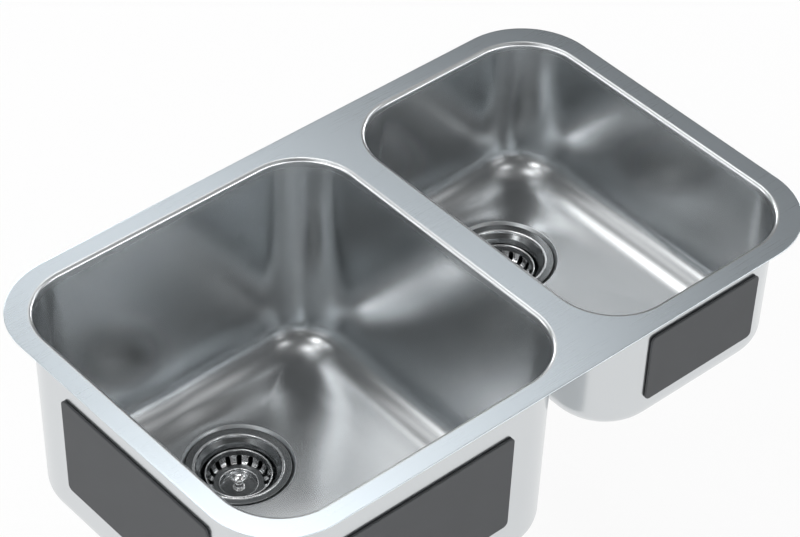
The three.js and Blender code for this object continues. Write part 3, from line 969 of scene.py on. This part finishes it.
def strainerBody(name):
    s = strainer
    climb = s["threadTop"] - s["threadBottom"]
    thread = [(s["threadRadius"], s["threadBottom"] + climb * step / s["threadSteps"])
              for step in range(s["threadSteps"] + 1)]
    outline = [
        (s["spigotRadius"], s["spigotEnd"], 0.5),
        (s["spigotRadius"], -49.5, 1.0),
        (34.0, s["seat"], 2.5),
        (s["threadRadius"], -37.0, 1.5),
        *thread,
        (44.4, -4.9, 0.6),
        (46.2, -3.6, 0.4),
        (54.2, -2.6, 0.3),
        (s["flangeRadius"], -2.1, 0.4),
        (s["flangeRadius"] - 0.2, s["flangeTop"], 0.7),
        (48.4, -2.15, 0.6),
        (47.7, s["beadTop"], 0.7),
        (45.6, s["beadTop"], 1.1),
        (44.6, -4.2, 1.2),
        (40.2, -8.0, 3.0),
        (s["mouthRadius"], s["mouthHeight"], 1.5),
        (37.4, -15.0, 2.0),
        (s["cupRadius"], -35.0, 5.0),
        (25.8, -42.2, 3.0),
        (s["outletRadius"], s["seat"], 1.2),
        (s["outletRadius"], s["spigotEnd"], 0.5),
    ]
    cup = turnedMesh(name + "StrainerBody", outline, s["roundSteps"])
    cup = shaped(cup, threadTree, finishes["polishedSteel"], pitch=s["threadPitch"],
                 depth=s["threadDepth"], bottom=s["threadBottom"], top=s["threadTop"],
                 radius=s["threadRadius"])
    hub = turnedMesh("hub", plainRing(s["hubHole"], s["hubHole"] + s["hubWall"],
                                      s["crossBottom"], s["crossTop"], 0.4), s["hubSteps"])
    return shaped(joined(cup, hub), addTree, finishes["polishedSteel"], count=s["crossArms"],
                  fromRadius=s["hubHole"] + s["hubWall"] / 2, toRadius=s["outletRadius"] + 2,
                  width=s["crossWidth"], bottom=s["crossBottom"] + s["crossSunk"],
                  top=s["crossTop"] - s["crossSunk"], corner=s["crossCorner"])


basket = {
    "rimRadius": 35.6,
    "rimTop": -12.2,
    "floorRadius": 31.0,
    "floor": -27.55,
    "wellRadius": 20.5,
    "wellFloor": -35.05,
    "sheet": 1.0,
    "postHole": 2.9,
    "slotCount": 16,
    "slotWidth": 5.4,
    "slotInner": 26.2,
    "slotTop": -18.4,
    "slotBottom": -29.55,
    "slotCorner": 1.2,
    "slotTurn": 0.098,
    "roundSteps": 160,
    "wellShade": 19.0,       # painted shade: the floor is darker inside this radius and between the next two
    "floorShade": (20.9, 26.5),
    "wallShade": 31.5,       # and the wall outside this one, from the slots up to the rim
    "wallShadeTop": -13.8,
}


def basketBowl(name):
    b = basket
    outline = [
        (b["postHole"], b["wellFloor"]),
        (b["wellRadius"], b["wellFloor"], 2.2),
        (b["wellRadius"], b["floor"], 0.9),
        (b["floorRadius"], b["floor"], 4.4),
        (b["rimRadius"] - 0.75, -14.4, 0.4),
        (b["rimRadius"], -13.6, 0.7),
        (b["rimRadius"], b["rimTop"], 0.7),
        (b["rimRadius"] - 1.6, b["rimTop"], 0.7),
        (b["rimRadius"] - 1.75, -14.0, 0.4),
        (b["floorRadius"] + 1.5, b["slotTop"]),
        (b["floorRadius"] - b["sheet"], b["floor"] + b["sheet"], 3.6),
        (b["wellRadius"] - b["sheet"], b["floor"] + b["sheet"], 1.2),
        (b["wellRadius"] - b["sheet"], b["wellFloor"] + b["sheet"], 1.6),
        (b["postHole"], b["wellFloor"] + b["sheet"]),
    ]
    body = turnedMesh(name + "Basket", outline, b["roundSteps"])
    return shaped(body, cutTree, finishes["highlightPaintedSteel"], count=b["slotCount"],
                  fromRadius=b["slotInner"], toRadius=b["rimRadius"] + 2, width=b["slotWidth"],
                  bottom=b["slotBottom"], top=b["slotTop"], corner=b["slotCorner"],
                  firstTurn=b["slotTurn"])


post = {
    "knobRadius": 9.7,
    "knobRise": 4.7,
    "knobMiddle": -17.0,
    "knobTop": -12.3,
    "shankRadius": 2.6,
    "shankEnd": -52.4,
    "collarRadius": 6.8,
    "collarBottom": -33.75,
    "knobFrom": -48,        # degrees of the knob's curve, from its neck to near its top
    "knobTo": 84,
    "knobSteps": 18,
}


def basketPost(name):
    p = post
    knob = [(p["knobRadius"] * across, p["knobMiddle"] + p["knobRise"] * up)
            for across, up in arcPoints((0, 0), 1, p["knobFrom"], p["knobTo"], p["knobSteps"])]
    outline = [
        (0, p["shankEnd"]),
        (p["shankRadius"], p["shankEnd"], 1.2),
        (p["shankRadius"], p["collarBottom"]),
        (p["collarRadius"], p["collarBottom"], 0.4),
        (p["collarRadius"], -32.2, 1.0),
        (4.3, -31.7, 0.4),
        (5.3, -30.7, 0.9),
        (4.2, -29.8, 0.5),
        (4.1, -26.4, 0.5),
        (5.3, -25.4, 0.9),
        (4.2, -24.5, 0.5),
        (4.4, -21.4, 1.5),
        *knob,
        (0, p["knobTop"]),
    ]
    return turnedMesh(name + "BasketPost", outline)


# Six straight sides, with as many points as a round loop of six times the steps.
def hexagonLoop(radius, height, steps):
    corners = [Vector((radius * math.cos(turn), radius * math.sin(turn)))
               for turn in (math.radians(60 * corner) for corner in range(7))]
    return [(*(here.lerp(after, step / steps) * mm), height * mm)
            for here, after in zip(corners, corners[1:]) for step in range(steps)]


retainer = {
    "bore": 2.9,
    "faceRadius": 5.0,
    "cornerRadius": 6.0,
    "bottom": -45.05,
    "top": -43.25,
    "bevel": 0.35,
    "sideSteps": 8,
}


def stopperRetainer(name):
    r = retainer
    steps = r["sideSteps"]
    rows = [roundLoop(radius, r["bottom"], 6 * steps) for radius in (r["bore"], r["faceRadius"])]
    rows += [hexagonLoop(r["cornerRadius"], height, steps)
             for height in (r["bottom"] + r["bevel"], r["top"] - r["bevel"])]
    rows += [roundLoop(radius, r["top"], 6 * steps) for radius in (r["faceRadius"], r["bore"])]
    return skinMesh(name + "StopperRetainer", rows, True)


# A nut's outline with grips round it: lugs on the locknut, ribs on the coupling nut.
def gripNut(name, sizes, outline):
    body = turnedMesh(name, outline, sizes["roundSteps"])
    return shaped(body, addTree, finishes["platedMetal"], count=sizes["grips"],
                  fromRadius=sizes["outer"] - sizes["gripSunk"],
                  toRadius=sizes["outer"] + sizes["gripReach"], width=sizes["gripWidth"],
                  bottom=sizes["gripBottom"], top=sizes["gripTop"], corner=sizes["gripCorner"],
                  firstTurn=-math.pi / 2)


locknutSizes = {
    "inner": 42.8,
    "outer": 47.3,
    "shoulder": 55.1,
    "top": -11.7,
    "bottom": -22.7,
    "shoulderBottom": -14.7,
    "grips": 6,
    "gripSunk": 1.5,
    "gripReach": 5.0,
    "gripWidth": 9.0,
    "gripBottom": -21.7,
    "gripTop": -14.2,
    "gripCorner": 1.2,
    "roundSteps": 128,
}


def locknut(name):
    n = locknutSizes
    return gripNut(name + "Locknut", n, [
        (n["outer"], n["bottom"], 0.8),
        (n["outer"], n["shoulderBottom"], 1.0),
        (n["shoulder"], n["shoulderBottom"], 0.6),
        (n["shoulder"], n["top"], 0.6),
        (n["inner"], n["top"], 0.4),
        (n["inner"], n["bottom"], 0.8),
    ])


couplingSizes = {
    "inner": 24.4,
    "outer": 28.6,
    "top": -52.5,
    "lipTop": -67.9,
    "bottom": -70.9,
    "tubeHole": 19.35,
    "chamfer": 2.0,
    "grips": 12,
    "gripSunk": 1.5,
    "gripReach": 1.6,
    "gripWidth": 9.0,
    "gripBottom": -67.9,
    "gripTop": -53.5,
    "gripCorner": 1.0,
    "roundSteps": 144,
}


def couplingNut(name):
    n = couplingSizes
    return gripNut(name + "CouplingNut", n, [
        (n["outer"] - n["chamfer"], n["bottom"], 0.6),
        (n["outer"], n["bottom"] + n["chamfer"], 1.0),
        (n["outer"], n["top"], 0.8),
        (n["inner"], n["top"], 0.8),
        (n["inner"], n["lipTop"], 0.4),
        (n["tubeHole"], n["lipTop"], 0.3),
        (n["tubeHole"], n["bottom"], 0.4),
    ])


# The outlines of the pieces that are turned and nothing more.
turnedParts = {
    "FlangeSeal": [(53.5, -4.0, 0.3), (53.5, -3.0, 0.3), (47.0, -3.85, 0.3), (47.0, -4.85, 0.3)],
    "ClampGasket": [(55.1, -9.9, 0.8), (55.1, -5.6, 0.8), (45.0, -6.9, 0.5), (43.1, -6.9, 0.4),
                    (43.1, -9.9, 0.5)],
    "FrictionRing": plainRing(43.1, 55.1, -11.4, -10.2, 0.25),
    "TailpieceWasher": plainRing(19.05, 23.5, -65.8, -63.8, 0.4),
    "Tailpiece": [(19.05, -167.6, 0.5), (19.05, -67.6, 0.4), (23.2, -67.6, 0.4),
                  (23.2, -66.1, 0.5), (18.55, -66.1, 0.8), (17.55, -67.1, 0.6),
                  (17.55, -167.6, 0.5)],
    "Stopper": [(2.9, -42.95, 0.3), (18.6, -42.95, 1.0), (25.8, -41.5, 0.8), (26.4, -40.3, 0.8),
                (18.5, -35.35, 1.2), (2.9, -35.35, 0.3)],
}

snapRingSizes = {
    "middleRadius": 3.85,
    "height": -47.1,
    "wireRadius": 0.95,
    "wireSteps": 24,
    "roundSteps": 64,
}


def snapRing(name):
    r = snapRingSizes
    wire = arcPoints((r["middleRadius"], r["height"]), r["wireRadius"], 0, 360, r["wireSteps"])
    return turnedMesh(name + "SnapRing", wire[:-1], r["roundSteps"])


makers = {
    "StrainerBody": strainerBody,
    "Locknut": locknut,
    "CouplingNut": couplingNut,
    "Basket": basketBowl,
    "BasketPost": basketPost,
    "StopperRetainer": stopperRetainer,
    "SnapRing": snapRing,
}

# label: node, finish, slot, body
strainerPieces = {
    "StrainerBody": ("strainer_body", "polishedSteel", "polished_steel", "sink"),
    "FlangeSeal": ("flange_seal", "blackRubber", "black_rubber", "sink"),
    "ClampGasket": ("clamp_gasket", "blackRubber", "black_rubber", "sink"),
    "FrictionRing": ("friction_ring", "fibreBoard", "fibre_board", "sink"),
    "Locknut": ("locknut", "platedMetal", "plated_metal", "sink"),
    "TailpieceWasher": ("tailpiece_washer", "whitePlastic", "white_plastic", "sink"),
    "Tailpiece": ("tailpiece", "platedMetal", "plated_metal", "sink"),
    "CouplingNut": ("coupling_nut", "platedMetal", "plated_metal", "sink"),
    "Basket": ("basket", "highlightPaintedSteel", "polished_steel", "basket_turn"),
    "BasketPost": ("basket_post", "highlightPaintedSteel", "polished_steel", "basket_turn"),
    "Stopper": ("stopper", "blackRubber", "black_rubber", "basket_turn"),
    "StopperRetainer": ("stopper_retainer", "platedMetal", "plated_metal", "basket_turn"),
    "SnapRing": ("snap_ring", "blackRubber", "black_rubber", "basket_lift"),
}


# The strainer's bead, whose faces get a painted highlight.
def onPaintedHighlight(reach, height):
    return strainer["highlightInner"] < reach < strainer["highlightOuter"] and height > strainer["highlightFoot"]


# The basket's faces that get painted shade: its well, a ring of its floor and the top of its wall.
def onPaintedShade(reach, height):
    onFloor = reach < basket["wellShade"] or basket["floorShade"][0] < reach < basket["floorShade"][1]
    upWall = basket["slotTop"] - 0.1 < height < basket["wallShadeTop"]
    return onFloor or reach > basket["wallShade"] and upWall


# label: second finish, and the faces that take it: a painted highlight on the strainer's bead,
# painted shade in the basket
paintedLightFinishes = {"StrainerBody": ("highlightPaintedSteel", onPaintedHighlight), "Basket": ("polishedSteel", onPaintedShade)}

for bowlName in bowls:
    drain = drainPlace(bowlName)
    for label, (node, finish, slot, body) in strainerPieces.items():
        if label in makers:
            mesh = makers[label](bowlName)
        else:
            mesh = turnedMesh(bowlName + label, turnedParts[label])
        mesh.transform(Matrix.Translation(drain))
        part = finishMesh(bowlName + label, mesh, finishes[finish])
        if label in paintedLightFinishes:
            second, picks = paintedLightFinishes[label]
            addAccent(part, finishes[second], drain, picks)
        settle(part, body if body == "sink" else bowlName + "_" + body, slot, bowlName + "_" + node)
print("strainers made")


# The room: floor, background and lamps, in metres.
room = {
    "floorBelow": 0.006,
    "floorSize": 60.0,
    "floorColour": (0.85, 0.85, 0.85, 1),
    "backgroundShare": 0.88,
    "worldStrength": 0.14,
    "lampDistance": 2.6,
    "lampAim": (-0.05, 0.0, -0.1),
    "lampCore": 0.0,        # share of a lamp's size that is fully bright
}

# name: azimuth from +X towards +Y, elevation, width, height (degrees), brightness in the middle
lamps = {
    "rearLow": (79, 26, 35, 26, 11.0),
    "rearHigh": (64, 61, 37, 21, 5.4),
    "rearMiddle": (60, 42, 26, 18, 1.35),
    "rearOver": (119, 50, 27, 60, 1.1),
    "flangeSpot": (42, 48, 28, 16, 1.6),
    "leftEdge": (132, 14, 26, 24, 10.0),
    "leftSpot": (152, 37, 20, 28, 8.0),
    "leftPanel": (189, 6, 100, 59, 4.7),
    "leftMiddle": (131, 40, 14, 16, 1.5),
    "leftHigh": (184, 53, 18, 20, 7.4),
    "leftCrown": (156, 65, 20, 18, 2.8),
    "frontLeft": (229, 37, 10, 18, 0.9),
    "frontMiddle": (276, 37, 10, 18, 1.4),
    "frontPanel": (275, 5, 120, 30, 6.5),
    "frontEdge": (300, 12, 30, 24, 3.3),
    "frontSpot": (283, 62, 21, 18, 2.6),
    "frontHigh": (331, 66, 42, 28, 0.65),
    "rightSpot": (356, 41, 32, 18, 6.0),
    "rightHaze": (310, 37, 100, 30, 0.8),
    "rightLow": (10, 14, 40, 20, 12.5),
    "overhead": (151, 79, 28, 17, 3.3),
}


def makeFloor(values):
    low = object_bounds()[0]
    size = values["floorSize"] / 2
    height = low[2] - values["floorBelow"]
    mesh = bpy.data.meshes.new("floor")
    mesh.from_pydata([(-size, -size, height), (size, -size, height), (size, size, height),
                      (-size, size, height)], [], [(0, 1, 2, 3)])
    floor = bpy.data.objects.new("floor", mesh)
    scene.collection.objects.link(floor)
    material = bpy.data.materials.new("paleFloor")
    tree = emptyTree(material)
    matt = addNode(tree, "ShaderNodeBsdfDiffuse", {"Color": values["floorColour"]})
    glow = addNode(tree, "ShaderNodeEmission", {"Color": (1, 1, 1, 1), "Strength": 1.0})
    path = addNode(tree, "ShaderNodeLightPath")
    seen = maths(tree, "MAXIMUM", path.outputs["Is Camera Ray"], path.outputs["Is Glossy Ray"])
    share = maths(tree, "MULTIPLY", seen, values["backgroundShare"])
    mix = addNode(tree, "ShaderNodeMixShader", {"Fac": share, 1: matt, 2: glow})
    addNode(tree, "ShaderNodeOutputMaterial", {"Surface": mix})
    mesh.materials.append(material)
    floor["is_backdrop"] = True


def makeWorld(values):
    world = bpy.data.worlds.new("studio")
    tree = emptyTree(world)
    path = addNode(tree, "ShaderNodeLightPath")
    dim, white = [
        addNode(tree, "ShaderNodeBackground", {"Color": (1, 1, 1, 1), "Strength": strength})
        for strength in (values["worldStrength"], 1.0)]
    mix = addNode(tree, "ShaderNodeMixShader", {
        "Fac": path.outputs["Is Camera Ray"], 1: dim, 2: white})
    addNode(tree, "ShaderNodeOutputWorld", {"Surface": mix})
    scene.world = world


# A softbox: bright in its middle and fading to nothing at its edge.
def softenLamp(data, core):
    tree = emptyTree(data)
    place = addNode(tree, "ShaderNodeNewGeometry")
    offset = vectorMaths(tree, "SUBTRACT", place.outputs["Parametric"], (0.5, 0.5, 0.0))
    reach = addNode(tree, "ShaderNodeVectorMath", {0: offset}, operation="LENGTH")
    fade = addNode(tree, "ShaderNodeMapRange", {
        "Value": reach.outputs["Value"], "From Min": core / 2, "From Max": 0.5,
        "To Min": 1.0, "To Max": 0.0}, interpolation_type="SMOOTHSTEP")
    glow = addNode(tree, "ShaderNodeEmission", {"Strength": fade})
    addNode(tree, "ShaderNodeOutputLight", {"Surface": glow})


def makeLamps(values):
    for name, (azimuth, elevation, wide, high, brightness) in values.items():
        width, height = [2 * room["lampDistance"] * math.tan(math.radians(size / 2))
                         for size in (wide, high)]
        data = bpy.data.lights.new(name, "AREA")
        data.shape = "ELLIPSE"
        data.size, data.size_y = width, height
        data.energy = math.pi ** 2 / 4 * width * height * brightness    # watts
        softenLamp(data, room["lampCore"])
        lamp = bpy.data.objects.new(name, data)
        scene.collection.objects.link(lamp)
        turn, tilt = math.radians(azimuth), math.radians(elevation)
        outward = Vector((math.cos(tilt) * math.cos(turn), math.cos(tilt) * math.sin(turn),
                          math.sin(tilt)))
        lamp.location = Vector(room["lampAim"]) + outward * room["lampDistance"]
        lamp.rotation_euler = (-outward).to_track_quat("-Z", "Y").to_euler()
        lamp.visible_camera = False


scene.view_settings.view_transform = "Standard"
makeFloor(room)
makeWorld(room)
makeLamps(lamps)
print("pieces made:", pieceCount)
